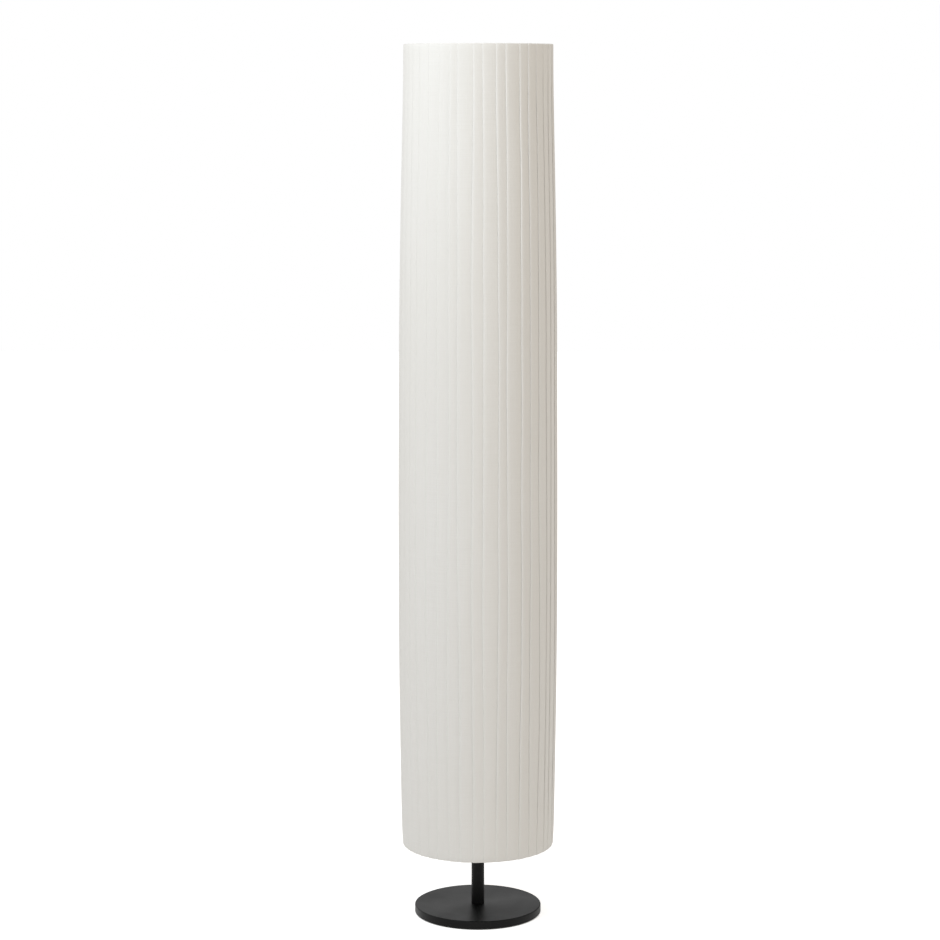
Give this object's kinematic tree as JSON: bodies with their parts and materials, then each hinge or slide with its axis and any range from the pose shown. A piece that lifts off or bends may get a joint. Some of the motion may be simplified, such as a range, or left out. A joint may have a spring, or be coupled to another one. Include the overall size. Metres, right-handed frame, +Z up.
{
  "type": "floor lamp",
  "caption": "Tall floor lamp with a cylindrical knife-pleated cloth shade over bulbs on a slim pole, standing on a flat round foot.",
  "frame": {"origin": "on the floor under the pole, at the centre of the foot pad's underside", "axes": "+Z up along the pole; -Y towards the front, where the picture was taken from; the lower lamp holder is towards +X and the lead inlet towards +Y"},
  "size_m": [0.217, 0.217, 1.2],
  "materials": {
    "black_powder_coat": "satin",
    "zinc_steel": "satin",
    "white_wire": "satin",
    "black_rubber": "matte",
    "black_lead": "matte",
    "black_plastic": "semi-gloss",
    "white_ceramic": "matte",
    "brass": "satin",
    "bulb_aluminium": "satin",
    "bulb_housing_white": "matte",
    "bulb_opal": "matte opal",
    "liner_film": "matte translucent",
    "white_cloth": "matte woven"
  },
  "bodies": {
    "stand": {"base_plate": "black_powder_coat", "base_pad": "black_rubber", "base_washer": "zinc_steel", "base_nut": "zinc_steel", "pole_lower": "black_powder_coat", "pole_middle": "black_powder_coat", "pole_upper": "black_powder_coat", "pole_inserts": "zinc_steel", "joint_nipples": "zinc_steel", "top_stud": "zinc_steel", "inlet_grommet": "black_rubber", "lower_outlet_grommet": "black_rubber", "upper_outlet_grommet": "black_rubber", "lower_arm": "black_powder_coat", "upper_arm": "black_powder_coat", "holder_nipples": "zinc_steel", "holder_nuts": "zinc_steel", "supply_lead": "black_lead", "link_lead": "black_lead", "lower_holder_cap": "black_plastic", "lower_holder_shell": "black_plastic", "lower_holder_insert": "white_ceramic", "lower_screw_shell": "brass", "lower_centre_contact": "brass", "upper_holder_cap": "black_plastic", "upper_holder_shell": "black_plastic", "upper_holder_insert": "white_ceramic", "upper_screw_shell": "brass", "upper_centre_contact": "brass"},
    "shade": {"top_ring": "white_wire", "bottom_ring": "white_wire", "top_spider": "white_wire", "shade_liner": "liner_film", "liner_seam": "liner_film", "bottom_rim_tape": "white_cloth", "top_rim_tape": "white_cloth", "pleated_cover": "white_cloth", "knob_washer": "zinc_steel"},
    "knob_thread": {"knob_brass": "brass"},
    "knob": {"knob_grip": "black_plastic"},
    "lower_bulb_contact": {"lower_bulb_tip": "brass"},
    "lower_bulb": {"lower_bulb_cap": "bulb_aluminium", "lower_bulb_housing": "bulb_housing_white", "lower_bulb_globe": "bulb_opal"},
    "upper_bulb_contact": {"upper_bulb_tip": "brass"},
    "upper_bulb": {"upper_bulb_cap": "bulb_aluminium", "upper_bulb_housing": "bulb_housing_white", "upper_bulb_globe": "bulb_opal"}
  },
  "joints": [
    {"name": "shade_lift", "type": "slide", "parent": "stand", "child": "shade", "axis": [0, 0, 1], "range_m": [0, 1.11]},
    {"name": "knob_rise", "type": "slide", "parent": "shade", "child": "knob_thread", "axis": [0, 0, 1], "range_m": [0, 0.0101]},
    {"name": "knob_turn", "type": "hinge", "parent": "knob_thread", "child": "knob", "pos_m": [0, 0, 1.1721], "axis": [0, 0, 1], "range_deg": [0, 3600]},
    {"name": "lower_bulb_rise", "type": "slide", "parent": "stand", "child": "lower_bulb_contact", "axis": [0, 0, 1], "range_m": [0, 0.0255]},
    {"name": "lower_bulb_turn", "type": "hinge", "parent": "lower_bulb_contact", "child": "lower_bulb", "pos_m": [0.046, 0, 0.4345], "axis": [0, 0, 1], "range_deg": [0, 2520]},
    {"name": "upper_bulb_rise", "type": "slide", "parent": "stand", "child": "upper_bulb_contact", "axis": [0, 0, 1], "range_m": [0, 0.0255]},
    {"name": "upper_bulb_turn", "type": "hinge", "parent": "upper_bulb_contact", "child": "upper_bulb", "pos_m": [-0.046, 0, 0.821], "axis": [0, 0, 1], "range_deg": [0, 2520]}
  ],
  "couplings": [
    {"joint": "knob_rise", "follows": "knob_turn", "m_per_rad": 0.00015915},
    {"joint": "lower_bulb_rise", "follows": "lower_bulb_turn", "m_per_rad": 0.00057773},
    {"joint": "upper_bulb_rise", "follows": "upper_bulb_turn", "m_per_rad": 0.00057773}
  ]
}
